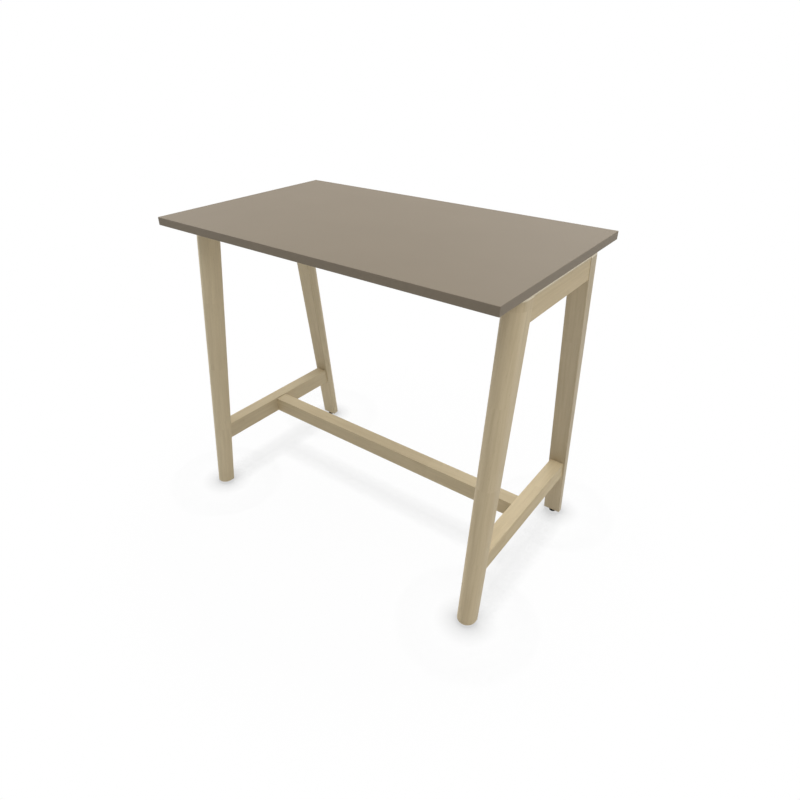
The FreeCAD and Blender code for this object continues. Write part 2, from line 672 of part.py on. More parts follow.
def make_cam_fittings():
    # Housing: a round block standing on the origin, its bolt hole towards +X, a driver slot below.
    housing = new_body("cam_housing")
    sketch = new_sketch(housing, "cam_section", "XY_Plane")
    draw_circles(sketch, [("0", "0")], "cam_radius")
    pad(housing, sketch, "cam_height")
    sketch = new_sketch(housing, "cam_bolt_hole", "YZ_Plane")
    draw_circles(sketch, [("0", "cam_bolt_axis")], "cam_bolt_bore_radius")
    pocket(housing, sketch, "cam_cross_cut", along_normal=True)
    sketch = new_sketch(housing, "cam_driver_slot", "XY_Plane")
    corners = (("-", "-"), ("", "-"), ("", ""), ("-", ""))
    draw_outline(sketch, [(f"{x}cam_thread_radius", f"{y}cam_slot_half_width") for x, y in corners])
    pocket(housing, sketch, "cam_slot_depth", along_normal=True)
    group("cam_housings", housing, [("-cam_line", "0", "stretcher_floor", TURNED_BACK),
                                    ("cam_line", "0", "stretcher_floor", UPRIGHT)])

    # Bolt: thread above the origin, shaft, neck and head below it.
    bolt = turned("cam_bolt", [
        ("0", "cam_bolt_end"), ("cam_bolt_radius", "cam_bolt_end"),
        ("cam_bolt_radius", "cam_bolt_neck_low"), ("cam_bolt_neck_radius", "cam_bolt_neck_low"),
        ("cam_bolt_neck_radius", "cam_bolt_neck_high"), ("cam_bolt_radius", "cam_bolt_neck_high"),
        ("cam_bolt_radius", "0"), ("cam_thread_radius", "0"),
        ("cam_thread_radius", "cam_thread_length"), ("0", "cam_thread_length"),
    ])
    group("cam_bolts", bolt, [("-half_stretcher_length", "0", "cam_bolt_level", AGAINST_X),
                              ("half_stretcher_length", "0", "cam_bolt_level", ALONG_X)])


def make_top_screws():
    screw = turned("top_screw", [
        ("0", "-screw_head_height"), ("screw_head_radius", "-screw_head_height"), ("screw_head_radius", "0"),
        ("screw_radius", "0"), ("screw_radius", "screw_length"), ("0", "screw_length"),
    ])
    sketch = new_sketch(screw, "top_screw_socket", "XY_Plane", z="-screw_head_height")
    draw_hexagon(sketch, "screw_socket_radius")
    pocket(screw, sketch, "screw_socket_depth", along_normal=True)
    group("top_screws", screw, [(x, y, "washer_level", UPRIGHT) for x, y in SCREW_SPOTS])

    washer = turned("top_washer", [
        ("washer_hole_radius", "0"), ("washer_radius", "0"),
        ("washer_radius", "washer_thickness"), ("washer_hole_radius", "washer_thickness"),
    ])
    group("top_washers", washer, [(x, y, "washer_level", UPRIGHT) for x, y in SCREW_SPOTS])

    insert = turned("top_insert", [
        ("top_insert_thread", "0"), ("top_insert_radius", "0"),
        ("top_insert_radius", "top_insert_length"), ("top_insert_thread", "top_insert_length"),
    ])
    group("top_inserts", insert, [(x, y, "top_underside", UPRIGHT) for x, y in SCREW_SPOTS])


def make_levellers():
    sleeve = turned("leg_insert", [
        ("leg_insert_thread", "0"), ("leg_insert_radius", "0"),
        ("leg_insert_radius", "leg_insert_length"), ("leg_insert_thread", "leg_insert_length"),
    ])
    spots = [(f"{frame_sign}frame_axis", f"{leg_sign}leveller_line")
             for _, frame_sign, _ in FRAME_SIDES for _, leg_sign, _ in LEG_SIDES]
    group("leg_inserts", sleeve, [(x, y, "glide_height", UPRIGHT) for x, y in spots])

    for frame_name, frame_sign, _ in FRAME_SIDES:
        for leg_name, leg_sign, _ in LEG_SIDES:
            corner = f"{leg_name}_{frame_name}"
            x, y = f"{frame_sign}frame_axis", f"{leg_sign}leveller_line"
            make_stud(f"leveller_stud_{corner}", x, y)
            make_pad(f"leveller_pad_{corner}", x, y)
            sole = turned(f"leveller_sole_{corner}", [
                ("0", "0"), ("sole_radius", "0"), ("sole_radius", "sole_thickness"), ("0", "sole_thickness"),
            ])
            sub_part(place(sole, x, y), f"leveller_sole_{corner}")


def make_stud(label, x, y):
    stud = turned(label, [
        ("0", "stud_foot_low"), ("stud_foot_radius", "stud_foot_low"), ("stud_foot_radius", "stud_foot_high"),
        ("stud_radius", "stud_foot_high"), ("stud_radius", "stud_end_shoulder"),
        ("stud_end_radius", "stud_end"), ("0", "stud_end"),
    ])
    sketch = new_sketch(stud, f"{label}_hexagon", "XY_Plane", z="hexagon_low")
    draw_hexagon(sketch, "hexagon_radius")
    pad(stud, sketch, "hexagon_height")
    sub_part(place(stud, x, y), label)


def make_pad(label, x, y):
    # A cup round the stud's foot, open above for its neck, with a recess below for the sole.
    cup = turned(label, [
        ("0", "sole_thickness"), ("pad_recess_radius", "sole_thickness"), ("pad_recess_radius", "sole_proud"),
        ("pad_radius", "sole_proud"), ("pad_radius", "pad_height"), ("pad_neck_radius", "pad_height"),
        ("pad_neck_radius", "pad_socket_high"), ("pad_socket_radius", "pad_socket_high"),
        ("pad_socket_radius", "pad_seat"), ("0", "pad_seat"),
    ])
    top, radius = number("pad_height"), number("pad_radius")

    def upper_rim(edge):
        bounds = edge.BoundBox
        return near(bounds.ZMin, top) and near(bounds.ZMax, top) and bounds.XLength > radius

    soften(cup, "Fillet", f"{label}_rim_round", upper_rim, "Radius", "pad_round")
    sub_part(place(cup, x, y), label)


def check_document():
    for thing in doc.Objects:
        if "Invalid" in thing.State or "Error" in thing.State:
            raise RuntimeError(f"{thing.Name} failed: {thing.State}")
        if thing.TypeId == "PartDesign::Pocket" and thing.Shape.Volume >= thing.BaseFeature.Shape.Volume:
            raise RuntimeError(f"{thing.Name} cuts nothing")
    for thing in SUB_PARTS:
        if thing.Shape.isNull() or not thing.Shape.isValid():
            raise RuntimeError(f"{thing.Label} has no valid shape")


make_board()
for frame_name, frame_sign, frame_turn in FRAME_SIDES:
    frame_x = f"{frame_sign}frame_axis"
    for leg_name, leg_sign, leg_turn in LEG_SIDES:
        make_leg(f"leg_{leg_name}_{frame_name}", frame_x, f"{leg_sign}leg_spread", leg_turn)
    make_top_rail(f"top_rail_{frame_name}", f"{frame_sign}top_rail_axis", frame_turn)
    make_foot_rail(f"foot_rail_{frame_name}", frame_x, frame_turn)
make_stretcher()
make_dowels()
make_cam_fittings()
make_top_screws()
make_levellers()
doc.recompute()
check_document()

os.makedirs("parts", exist_ok=True)
for thing in SUB_PARTS:
    thing.Shape.exportStep(f"parts/{thing.Label}.step")
    print(f"{thing.Label}: {len(thing.Shape.Solids)} solids, {thing.Shape.Volume:.1f} mm3")
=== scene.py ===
import math

import bmesh
import bpy
from mathutils import Matrix, Vector


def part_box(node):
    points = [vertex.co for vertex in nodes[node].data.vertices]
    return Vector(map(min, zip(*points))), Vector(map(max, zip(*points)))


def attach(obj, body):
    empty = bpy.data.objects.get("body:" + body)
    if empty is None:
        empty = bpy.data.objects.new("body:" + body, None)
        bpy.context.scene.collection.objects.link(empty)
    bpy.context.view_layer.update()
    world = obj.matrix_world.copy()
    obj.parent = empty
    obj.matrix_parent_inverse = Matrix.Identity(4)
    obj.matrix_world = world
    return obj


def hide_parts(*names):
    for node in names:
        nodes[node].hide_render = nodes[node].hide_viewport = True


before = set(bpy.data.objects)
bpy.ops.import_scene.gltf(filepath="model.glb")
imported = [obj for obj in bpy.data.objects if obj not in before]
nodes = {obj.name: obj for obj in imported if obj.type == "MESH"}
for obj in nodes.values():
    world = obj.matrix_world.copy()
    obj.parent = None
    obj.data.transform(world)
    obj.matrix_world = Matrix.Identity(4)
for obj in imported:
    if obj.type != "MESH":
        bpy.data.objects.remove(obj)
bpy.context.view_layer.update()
scene = bpy.context.scene

CORNERS = ("front_left", "front_right", "back_left", "back_right")
MM = 0.001
WHITE = (1.0, 1.0, 1.0, 1.0)


# Node trees

def add_node(tree, kind, inputs=None, **settings):
    """One shader node; an input takes a socket to link or a plain value."""
    node = tree.nodes.new(kind)
    for name, value in settings.items():
        setattr(node, name, value)
    for name, value in (inputs or {}).items():
        socket = node.inputs[name]
        if isinstance(value, bpy.types.NodeSocket):
            tree.links.new(value, socket)
        else:
            socket.default_value = value
    return node


def new_finish(name, **shader_values):
    """A material with an empty tree but for its surface shader and output."""
    material = bpy.data.materials.new(name)
    material.use_nodes = True
    tree = material.node_tree
    tree.nodes.clear()
    shader = add_node(tree, "ShaderNodeBsdfPrincipled", shader_values)
    add_node(tree, "ShaderNodeOutputMaterial", {"Surface": shader.outputs["BSDF"]})
    return material, tree, shader


def piece_place(tree):
    """The point on the piece, in metres."""
    return add_node(tree, "ShaderNodeTexCoord").outputs["Object"]


def part_along(tree, vector, axis):
    return add_node(tree, "ShaderNodeSeparateXYZ", {"Vector": vector}).outputs[axis]


def stretched(tree, vector, scale):
    return add_node(tree, "ShaderNodeMapping", {"Vector": vector, "Scale": scale}).outputs["Vector"]


def moved_by(tree, amount, reach, vector):
    """The vector, shifted by an amount times its reach along each axis."""
    inputs = {0: amount, 1: reach, 2: vector}
    return add_node(tree, "ShaderNodeVectorMath", inputs, operation="MULTIPLY_ADD").outputs[0]


def noise(tree, vector, scale, detail=2.0, roughness=0.5, distortion=0.0):
    inputs = {"Vector": vector, "Scale": scale, "Detail": detail, "Roughness": roughness,
              "Distortion": distortion}
    return add_node(tree, "ShaderNodeTexNoise", inputs).outputs["Fac"]


def ranged(tree, value, low, high, to_low, to_high):
    inputs = {"Value": value, "From Min": low, "From Max": high, "To Min": to_low, "To Max": to_high}
    return add_node(tree, "ShaderNodeMapRange", inputs).outputs["Result"]


def tinted(tree, factor, first, second, mode="MIX"):
    inputs = {0: factor, 6: first, 7: second}
    return add_node(tree, "ShaderNodeMix", inputs, data_type="RGBA", blend_type=mode).outputs[2]


def reckoned(tree, operation, *values):
    inputs = dict(enumerate(values))
    return add_node(tree, "ShaderNodeMath", inputs, operation=operation).outputs[0]


def summed(tree, *values):
    total = values[0]
    for value in values[1:]:
        total = reckoned(tree, "ADD", total, value)
    return total


def bump(tree, shader, height, strength, depth):
    node = add_node(tree, "ShaderNodeBump", {"Height": height, "Strength": strength, "Distance": depth})
    tree.links.new(node.outputs["Normal"], shader.inputs["Normal"])


def shaded(colour, share):
    """A colour made darker or lighter by a share."""
    return tuple(min(1.0, share * part) for part in colour[:3]) + (1.0,)


# How well a face's own normal and the rounded one agree: on an open face, and at a sharp edge
EDGE_OPEN = 0.995
EDGE_SHARP = 0.86
EDGE_SAMPLES = 6


def edge_share(tree, width):
    """0 on an open face, towards 1 along an edge."""
    rounded = add_node(tree, "ShaderNodeBevel", {"Radius": width}, samples=EDGE_SAMPLES).outputs["Normal"]
    flat = add_node(tree, "ShaderNodeNewGeometry").outputs["Normal"]
    agreement = add_node(tree, "ShaderNodeVectorMath", {0: rounded, 1: flat}, operation="DOT_PRODUCT")
    return ranged(tree, agreement.outputs["Value"], EDGE_OPEN, EDGE_SHARP, 0.0, 1.0)


# Wood

WOOD_LIGHT = (0.650, 0.548, 0.352, 1.0)
WOOD_DARK = (0.505, 0.410, 0.250, 1.0)
WOOD_PORE = (0.330, 0.245, 0.140, 1.0)
# Paler wood for the worn edges, and for the painted highlight on the rounded heads
WOOD_WEAR_AND_HIGHLIGHT = (0.980, 0.880, 0.680, 1.0)
WOOD_GLOSS = 0.3
WOOD_ROUGH_LIGHT = 0.48
WOOD_ROUGH_DARK = 0.60
WOOD_BUMP = 0.25
WOOD_BUMP_DEPTH = 0.25 * MM

# Staves: length, how far each one is cut from another place in the log, and the tone from palest to darkest
STAVE_LENGTH = 0.25
STAVE_JUMP = (0.9, 0.9, 3.0)
STAVE_TONE = (-0.13, 0.21)

# Layers of the figure: stretch across and along the grain; detail, roughness and distortion of the noise
SWAY_LAYER = ((9, 9, 1.3), 2.0, 0.5, 0.0)
BAND_LAYER = ((46, 46, 2.2), 2.0, 0.5, 0.6)
STREAK_LAYER = ((150, 150, 5.0), 3.0, 0.6, 0.0)
FIBRE_LAYER = ((900, 900, 16), 3.0, 0.6, 0.0)
PORE_LAYER = ((1500, 1500, 60), 1.0, 0.4, 0.0)
GRAIN_SWAY = (0.03, 0.03, 0.0)

# What part of a layer's noise counts, and how dark it makes the wood or how deep it lies
BAND_RANGE = (0.3, 0.7, 0.0, 0.30)
STREAK_RANGE = (0.36, 0.72, 0.0, 0.38)
FIBRE_RANGE = (0.3, 0.7, 0.0, 0.16)
PORE_TINT_RANGE = (0.66, 0.74, 0.0, 0.35)
PORE_DEPTH_RANGE = (0.66, 0.74, 0.0, -0.5)

# Rubbed, paler wood along the edges
WOOD_EDGE_WIDTH = 3 * MM
WOOD_EDGE_RUB = 0.155

# Painted highlight on the rounded heads of legs and top rails, a paler colour in place of the light that
# the board above shades off: the heights where it starts and where it is full
HEAD_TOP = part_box("leg_front_left")[1].z
HEAD_HIGHLIGHT_START = HEAD_TOP - 11.5 * MM
HEAD_HIGHLIGHT_FULL = HEAD_TOP - 7.5 * MM

# How far a face looks sideways where its painted side shade starts, and where the shade is full
SIDE_TURNED = 0.55
SIDE_SQUARE = 0.85


def stave_number(tree, grain):
    """Counts the finger-jointed staves along the grain."""
    return reckoned(tree, "FLOOR", reckoned(tree, "DIVIDE", part_along(tree, grain, "Z"), STAVE_LENGTH))


def figure_layer(tree, place, layer):
    stretch, detail, roughness, distortion = layer
    return noise(tree, stretched(tree, place, stretch), 1.0, detail, roughness, distortion)


def end_frame_side(tree):
    """1 on the faces that look to the table's left or right, 0 on the others."""
    facing = add_node(tree, "ShaderNodeTexCoord").outputs["Normal"]
    sideways = reckoned(tree, "ABSOLUTE", part_along(tree, facing, "X"))
    return ranged(tree, sideways, SIDE_TURNED, SIDE_SQUARE, 0.0, 1.0)


def oak(name, turn, spot, tone, side_shade_tone):
    """Pale lacquered oak of short staves, worn paler along its edges and with a painted highlight on the
    rounded heads.
    The turn sets the grain upright, the spot is the piece's place in the log, and a side tone, painted
    shade, holds for the faces that look left and right."""
    material, tree, shader = new_finish(name, **{"Specular IOR Level": WOOD_GLOSS})
    inputs = {"Vector": piece_place(tree), "Rotation": turn, "Location": spot}
    grain = add_node(tree, "ShaderNodeMapping", inputs).outputs["Vector"]
    number = stave_number(tree, grain)
    luck = add_node(tree, "ShaderNodeTexWhiteNoise", {"W": number}, noise_dimensions="1D")
    stave = moved_by(tree, luck.outputs["Color"], STAVE_JUMP, grain)
    fibre_place = moved_by(tree, figure_layer(tree, stave, SWAY_LAYER), GRAIN_SWAY, stave)
    bands = ranged(tree, figure_layer(tree, fibre_place, BAND_LAYER), *BAND_RANGE)
    streaks = ranged(tree, figure_layer(tree, fibre_place, STREAK_LAYER), *STREAK_RANGE)
    fibres = ranged(tree, figure_layer(tree, fibre_place, FIBRE_LAYER), *FIBRE_RANGE)
    pores = figure_layer(tree, fibre_place, PORE_LAYER)
    stave_tone = ranged(tree, luck.outputs["Value"], 0.0, 1.0, *STAVE_TONE)
    figure = summed(tree, bands, streaks, fibres, stave_tone)
    bare = tinted(tree, figure, WOOD_LIGHT, WOOD_DARK)
    pored = tinted(tree, ranged(tree, pores, *PORE_TINT_RANGE), bare, WOOD_PORE)
    # Painted shade: the side tone darkens the faces that look left and right
    tone_with_side_shade = tinted(tree, end_frame_side(tree), tone, side_shade_tone) if side_shade_tone else tone
    toned = tinted(tree, 1.0, pored, tone_with_side_shade, "MULTIPLY")
    height = part_along(tree, piece_place(tree), "Z")
    # Paler wood: real wear along the edges, plus a painted highlight on the rounded heads
    wear_and_highlight = summed(tree, ranged(tree, edge_share(tree, WOOD_EDGE_WIDTH), 0.0, 1.0, 0.0, WOOD_EDGE_RUB),
                 ranged(tree, height, HEAD_HIGHLIGHT_START, HEAD_HIGHLIGHT_FULL, 0.0, 1.0))
    tree.links.new(tinted(tree, wear_and_highlight, toned, WOOD_WEAR_AND_HIGHLIGHT), shader.inputs["Base Color"])
    roughness = ranged(tree, figure, 0.0, 1.0, WOOD_ROUGH_LIGHT, WOOD_ROUGH_DARK)
    tree.links.new(roughness, shader.inputs["Roughness"])
    relief = summed(tree, fibres, ranged(tree, pores, *PORE_DEPTH_RANGE))
    bump(tree, shader, relief, WOOD_BUMP, WOOD_BUMP_DEPTH)
    return material


BEECH_PALE = (0.62, 0.45, 0.29, 1.0)
BEECH_DARK = (0.52, 0.35, 0.21, 1.0)
BEECH_ROUGH = 0.6
BEECH_FLECK = 700.0
BEECH_RANGE = (0.3, 0.7, 0.0, 1.0)
BEECH_BUMP = 0.2
BEECH_BUMP_DEPTH = 0.2 * MM


def beech(name):
    """Beech of the dowels, with small flecks."""
    material, tree, shader = new_finish(name, Roughness=BEECH_ROUGH)
    flecks = noise(tree, piece_place(tree), BEECH_FLECK)
    colour = tinted(tree, ranged(tree, flecks, *BEECH_RANGE), BEECH_PALE, BEECH_DARK)
    tree.links.new(colour, shader.inputs["Base Color"])
    bump(tree, shader, flecks, BEECH_BUMP, BEECH_BUMP_DEPTH)
    return material


# Board

LAMINATE = (0.220, 0.181, 0.131, 1.0)
EDGE_BAND = (0.224, 0.186, 0.137, 1.0)
LAMINATE_GLOSS = 0.2
LAMINATE_DARKER = 0.96
LAMINATE_LIGHTER = 1.04
LAMINATE_WORN = 1.5
LAMINATE_EDGE_WIDTH = 1.5 * MM
LAMINATE_EDGE_WEAR = 0.2
CLOUD_SCALE = 7.0
CLOUD_RANGE = (0.3, 0.7, 0.0, 0.35)
SPECKLE_SCALE = 900.0
SPECKLE_ROUGHNESS = 0.6
SPECKLE_RANGE = (0.25, 0.75, 0.0, 0.65)
LAMINATE_ROUGH_RANGE = (0.2, 0.8, 0.52, 0.60)
PRESSED_SCALE = 1800.0
PRESSED_BUMP = 0.15
PRESSED_DEPTH = 0.1 * MM


def laminate(name, tone):
    """Matt taupe laminate with a faint fine speckle and a pressed texture."""
    material, tree, shader = new_finish(name, **{"Specular IOR Level": LAMINATE_GLOSS})
    place = piece_place(tree)
    clouds = noise(tree, place, CLOUD_SCALE)
    speckle = noise(tree, place, SPECKLE_SCALE, roughness=SPECKLE_ROUGHNESS)
    mixed = summed(tree, ranged(tree, clouds, *CLOUD_RANGE), ranged(tree, speckle, *SPECKLE_RANGE))
    plain = tinted(tree, mixed, shaded(tone, LAMINATE_DARKER), shaded(tone, LAMINATE_LIGHTER))
    wear = ranged(tree, edge_share(tree, LAMINATE_EDGE_WIDTH), 0.0, 1.0, 0.0, LAMINATE_EDGE_WEAR)
    tree.links.new(tinted(tree, wear, plain, shaded(tone, LAMINATE_WORN)), shader.inputs["Base Color"])
    tree.links.new(ranged(tree, speckle, *LAMINATE_ROUGH_RANGE), shader.inputs["Roughness"])
    bump(tree, shader, noise(tree, place, PRESSED_SCALE), PRESSED_BUMP, PRESSED_DEPTH)
    return material


CHIP_STRETCH = (260, 420, 700)
CHIP_DARK = (0.48, 0.34, 0.19, 1.0)
CHIP_PALE = (0.66, 0.52, 0.34, 1.0)
CHIP_ROUGH = 0.85
CHIP_BUMP = 0.5
CHIP_BUMP_DEPTH = 0.5 * MM


def chipboard(name):
    """Pressed wood chips of the board's core."""
    material, tree, shader = new_finish(name, Roughness=CHIP_ROUGH)
    inputs = {"Vector": stretched(tree, piece_place(tree), CHIP_STRETCH), "Scale": 1.0}
    chips = add_node(tree, "ShaderNodeTexVoronoi", inputs)
    tree.links.new(tinted(tree, chips.outputs["Color"], CHIP_DARK, CHIP_PALE), shader.inputs["Base Color"])
    bump(tree, shader, chips.outputs["Distance"], CHIP_BUMP, CHIP_BUMP_DEPTH)
    return material


# Fittings

PATCH_DETAIL = 3.0
PATCH_ROUGHNESS = 0.6
PATCH_LOW = 0.2
PATCH_HIGH = 0.8
METAL_PATCH_SCALE = 600.0
METAL_SMOOTHER = 0.06
METAL_ROUGHER = 0.08
METAL_BUMP = 0.1
MOULD_GLOSS = 0.25
MOULD_DARKER = 0.85
MOULD_LIGHTER = 1.2
MOULD_ROUGHER = 0.08
MOULD_BUMP = 0.3
PATCH_BUMP_DEPTH = 0.1 * MM


def patched(tree, shader, scale, dark, light, smooth, rough, relief):
    """Fine patches that vary colour, roughness and height together."""
    patches = noise(tree, piece_place(tree), scale, PATCH_DETAIL, PATCH_ROUGHNESS)
    tree.links.new(tinted(tree, patches, dark, light), shader.inputs["Base Color"])
    tree.links.new(ranged(tree, patches, PATCH_LOW, PATCH_HIGH, smooth, rough), shader.inputs["Roughness"])
    bump(tree, shader, patches, relief, PATCH_BUMP_DEPTH)


def metal(name, colour, roughness, metallic, mottle):
    """Cast, plated or blackened metal with a faint mottle."""
    material, tree, shader = new_finish(name, Metallic=metallic)
    patched(tree, shader, METAL_PATCH_SCALE, shaded(colour, 1 - mottle), shaded(colour, 1 + mottle),
            roughness - METAL_SMOOTHER, roughness + METAL_ROUGHER, METAL_BUMP)
    return material


def moulded(name, colour, roughness, scale):
    """Moulded plastic or rubber with a fine eroded texture."""
    material, tree, shader = new_finish(name, **{"Specular IOR Level": MOULD_GLOSS})
    patched(tree, shader, scale, shaded(colour, MOULD_DARKER), shaded(colour, MOULD_LIGHTER),
            roughness - MOULD_ROUGHER, roughness + MOULD_ROUGHER, MOULD_BUMP)
    return material


# Dressing of the pieces

LEG_LEAN = math.radians(6.4)
GRAIN_UP_BACK = (-LEG_LEAN, 0.0, 0.0)
GRAIN_UP_FRONT = (LEG_LEAN, 0.0, 0.0)
GRAIN_ALONG_X = (0.0, math.radians(-90), 0.0)
GRAIN_ALONG_Y = (math.radians(90), 0.0, 0.0)

# Piece, turn of its grain, its spot in the log (the last value sets where its staves join), its tone
WOOD_PIECES = (
    ("leg_front_left", GRAIN_UP_FRONT, (0.690, 0.130, 7.54), (1.095, 1.100, 1.143, 1.0)),
    ("leg_front_right", GRAIN_UP_FRONT, (-0.430, 0.150, 2.29), (1.009, 0.992, 1.001, 1.0)),
    ("leg_back_left", GRAIN_UP_BACK, (0.480, -0.110, 7.29), (0.967, 0.972, 1.009, 1.0)),
    ("leg_back_right", GRAIN_UP_BACK, (-0.660, -0.090, 1.79), (0.868, 0.869, 0.920, 1.0)),
    ("top_rail_left", GRAIN_ALONG_Y, (0.660, 0.880, 0.4), (0.98, 0.98, 0.98, 1.0)),
    ("top_rail_right", GRAIN_ALONG_Y, (-0.480, 1.100, 8.95), (0.949, 0.912, 0.870, 1.0)),
    ("foot_rail_left", GRAIN_ALONG_Y, (0.640, 0.320, 2.2), (1.013, 1.014, 1.044, 1.0)),
    ("foot_rail_right", GRAIN_ALONG_Y, (-0.650, 0.340, 2.9), (1.125, 1.118, 1.139, 1.0)),
    ("stretcher", GRAIN_ALONG_X, (0.330, 0.100, 8.04), (0.984, 0.974, 0.981, 1.0)),
)
# Painted shade: a darker tone for the right foot rail's faces that look left and right
SIDE_SHADE_TONES = {"foot_rail_right": (0.930, 0.892, 0.815, 1.0)}


def dress(material, *pieces):
    for piece in pieces:
        slots = nodes[piece].data.materials
        slots.clear()
        slots.append(material)


for piece, turn, spot, tone in WOOD_PIECES:
    dress(oak(f"oak_{piece}", turn, spot, tone, SIDE_SHADE_TONES.get(piece)), piece)
dress(laminate("taupe_laminate", LAMINATE), "upper_laminate", "lower_laminate")
dress(laminate("taupe_edge_band", EDGE_BAND),
      "edge_band_front", "edge_band_back", "edge_band_left", "edge_band_right")
dress(chipboard("pressed_chips"), "top_core")
dress(beech("dowel_beech"), "top_rail_dowels", "foot_rail_dowels", "stretcher_dowels")

cast_zinc = metal("cast_zinc", (0.52, 0.52, 0.53), roughness=0.45, metallic=1.0, mottle=0.12)
plated_steel = metal("plated_steel", (0.62, 0.61, 0.58), roughness=0.32, metallic=1.0, mottle=0.08)
black_steel = metal("black_steel", (0.022, 0.022, 0.022), roughness=0.42, metallic=0.0, mottle=0.2)
black_plastic = moulded("black_plastic", (0.014, 0.013, 0.013), roughness=0.55, scale=1400.0)
dark_rubber = moulded("dark_rubber", (0.02, 0.02, 0.02), roughness=0.8, scale=900.0)
dress(cast_zinc, "cam_housings")
dress(plated_steel, "cam_bolts", "top_screws", "top_washers", "top_inserts", "leg_inserts")
for corner in CORNERS:
    dress(black_steel, f"leveller_stud_{corner}")
    dress(black_plastic, f"leveller_pad_{corner}")
    dress(dark_rubber, f"leveller_sole_{corner}")


# Levelling studs: a real thread in place of the plain shank

THREAD_PITCH = 1.25 * MM
THREAD_CREST = 3.97 * MM
THREAD_ROOT = 3.25 * MM
THREAD_FLANK = ((THREAD_ROOT, 0.0), (THREAD_CREST, 0.42), (THREAD_CREST, 0.58), (THREAD_ROOT, 1.0))
THREAD_STEPS = 24
THREAD_SPARE_TURNS = 2
HEXAGON_ACROSS_FLATS = 13 * MM
HEXAGON_RADIUS = HEXAGON_ACROSS_FLATS / math.sqrt(3)
HEXAGON_CHAMFER = 0.45 * MM
CHAMFER_STEPS = 2
MOVING_GAP = 0.3 * MM
STUD_FOOT_RADIUS = 6.5 * MM
STUD_FOOT_HEIGHT = 2 * MM
SPIN_STEPS = 32
SEAM = 0.001 * MM


def chain(mesh, points):
    """Points joined by edges, as one list of geometry."""
    verts = [mesh.verts.new(point) for point in points]
    return verts + [mesh.edges.new(pair) for pair in zip(verts, verts[1:])]


def spun(mesh, outline, axis):
    """Turns an outline of (radius, height) pairs about the upright axis; its ends lie on the axis."""
    ribs = chain(mesh, [(axis.x + radius, axis.y, height) for radius, height in outline])
    bmesh.ops.spin(mesh, geom=ribs, cent=axis, axis=(0, 0, 1), angle=math.tau, steps=SPIN_STEPS,
                   use_merge=True)


def threaded(mesh, axis, low, high):
    """A right-hand thread between two heights, cut square at both ends."""
    start = low - THREAD_SPARE_TURNS * THREAD_PITCH
    turns = math.ceil((high - start) / THREAD_PITCH) + 1
    ribs = chain(mesh, [(axis.x + radius, axis.y, start + share * THREAD_PITCH)
                        for radius, share in THREAD_FLANK])
    bmesh.ops.spin(mesh, geom=ribs, cent=axis, axis=(0, 0, 1), angle=turns * math.tau,
                   dvec=(0, 0, THREAD_PITCH / THREAD_STEPS), steps=turns * THREAD_STEPS)
    bmesh.ops.remove_doubles(mesh, verts=mesh.verts, dist=SEAM)
    for height, clear_above in ((low, False), (high, True)):
        bmesh.ops.bisect_plane(mesh, geom=mesh.verts[:] + mesh.edges[:] + mesh.faces[:], dist=SEAM,
                               plane_co=(axis.x, axis.y, height), plane_no=(0, 0, 1),
                               clear_outer=clear_above, clear_inner=not clear_above)
    bmesh.ops.holes_fill(mesh, edges=[edge for edge in mesh.edges if edge.is_boundary], sides=0)


def hexagon(mesh, axis, low, high):
    """The stud's hexagon between two heights, with softened rims."""
    middle = Matrix.Translation((axis.x, axis.y, (low + high) / 2))
    block = bmesh.ops.create_cone(mesh, cap_ends=True, segments=6, radius1=HEXAGON_RADIUS,
                                  radius2=HEXAGON_RADIUS, depth=high - low, matrix=middle)["verts"]
    rims = [edge for edge in mesh.edges
            if edge.verts[0] in block and abs(edge.verts[0].co.z - edge.verts[1].co.z) < SEAM]
    bmesh.ops.bevel(mesh, geom=rims, offset=HEXAGON_CHAMFER, offset_type="OFFSET", segments=CHAMFER_STEPS,
                    profile=0.5, affect="EDGES", material=-1)


def make_stud(corner):
    """Thread, hexagon between pad and leg, and the flat foot that turns in the pad, in place of the plain
    stud."""
    node = f"leveller_stud_{corner}"
    low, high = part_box(node)
    axis = Vector(((low[0] + high[0]) / 2, (low[1] + high[1]) / 2, 0.0))
    foot_high = low[2] + STUD_FOOT_HEIGHT
    hexagon_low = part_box(f"leveller_pad_{corner}")[1].z + MOVING_GAP
    hexagon_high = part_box(f"leg_{corner}")[0].z - MOVING_GAP
    stud = bmesh.new()
    threaded(stud, axis, hexagon_high, high[2])
    hexagon(stud, axis, hexagon_low, hexagon_high)
    spun(stud, ((0, low[2]), (STUD_FOOT_RADIUS, low[2]), (STUD_FOOT_RADIUS, foot_high),
                (THREAD_CREST, foot_high), (THREAD_CREST, hexagon_low), (0, hexagon_low)), axis)
    bmesh.ops.remove_doubles(stud, verts=stud.verts, dist=SEAM)
    bmesh.ops.recalc_face_normals(stud, faces=stud.faces)
    mesh = bpy.data.meshes.new(f"threaded_stud_{corner}")
    stud.to_mesh(mesh)
    stud.free()
    mesh.materials.append(black_steel)
    piece = bpy.data.objects.new(f"threaded_stud_{corner}", mesh)
    scene.collection.objects.link(piece)
    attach(piece, f"stud_{corner}")
    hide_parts(node)


for corner in CORNERS:
    make_stud(corner)


# Stage: white floor that keeps a soft shadow, white surround, lamps and camera

FLOOR_REACH = 12.0
FLOOR_MATT = (0.85, 0.85, 0.85, 1.0)
SURROUND_LEVEL = 0.155

# The matt share of the floor, which holds the lamps' shadow, ends between these two distances
SHADOW_REACH = 0.8
WHITE_REACH = 1.1
SHADOW_CLEAR = 0.97

# Shade round the feet, and below the rails and stretcher, whose undersides lie between two reaches
COVER_SAMPLES = 16
FOOT_REACH = 0.075
FOOT_CLOSED = 0.6
FOOT_DARK = 0.66
RAIL_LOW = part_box("foot_rail_left")[0].z
RAIL_NEAR = RAIL_LOW - 3.5 * MM
RAIL_FAR = RAIL_LOW + 7.5 * MM
RAIL_CLOSED = 0.040
RAIL_DARK = 0.79

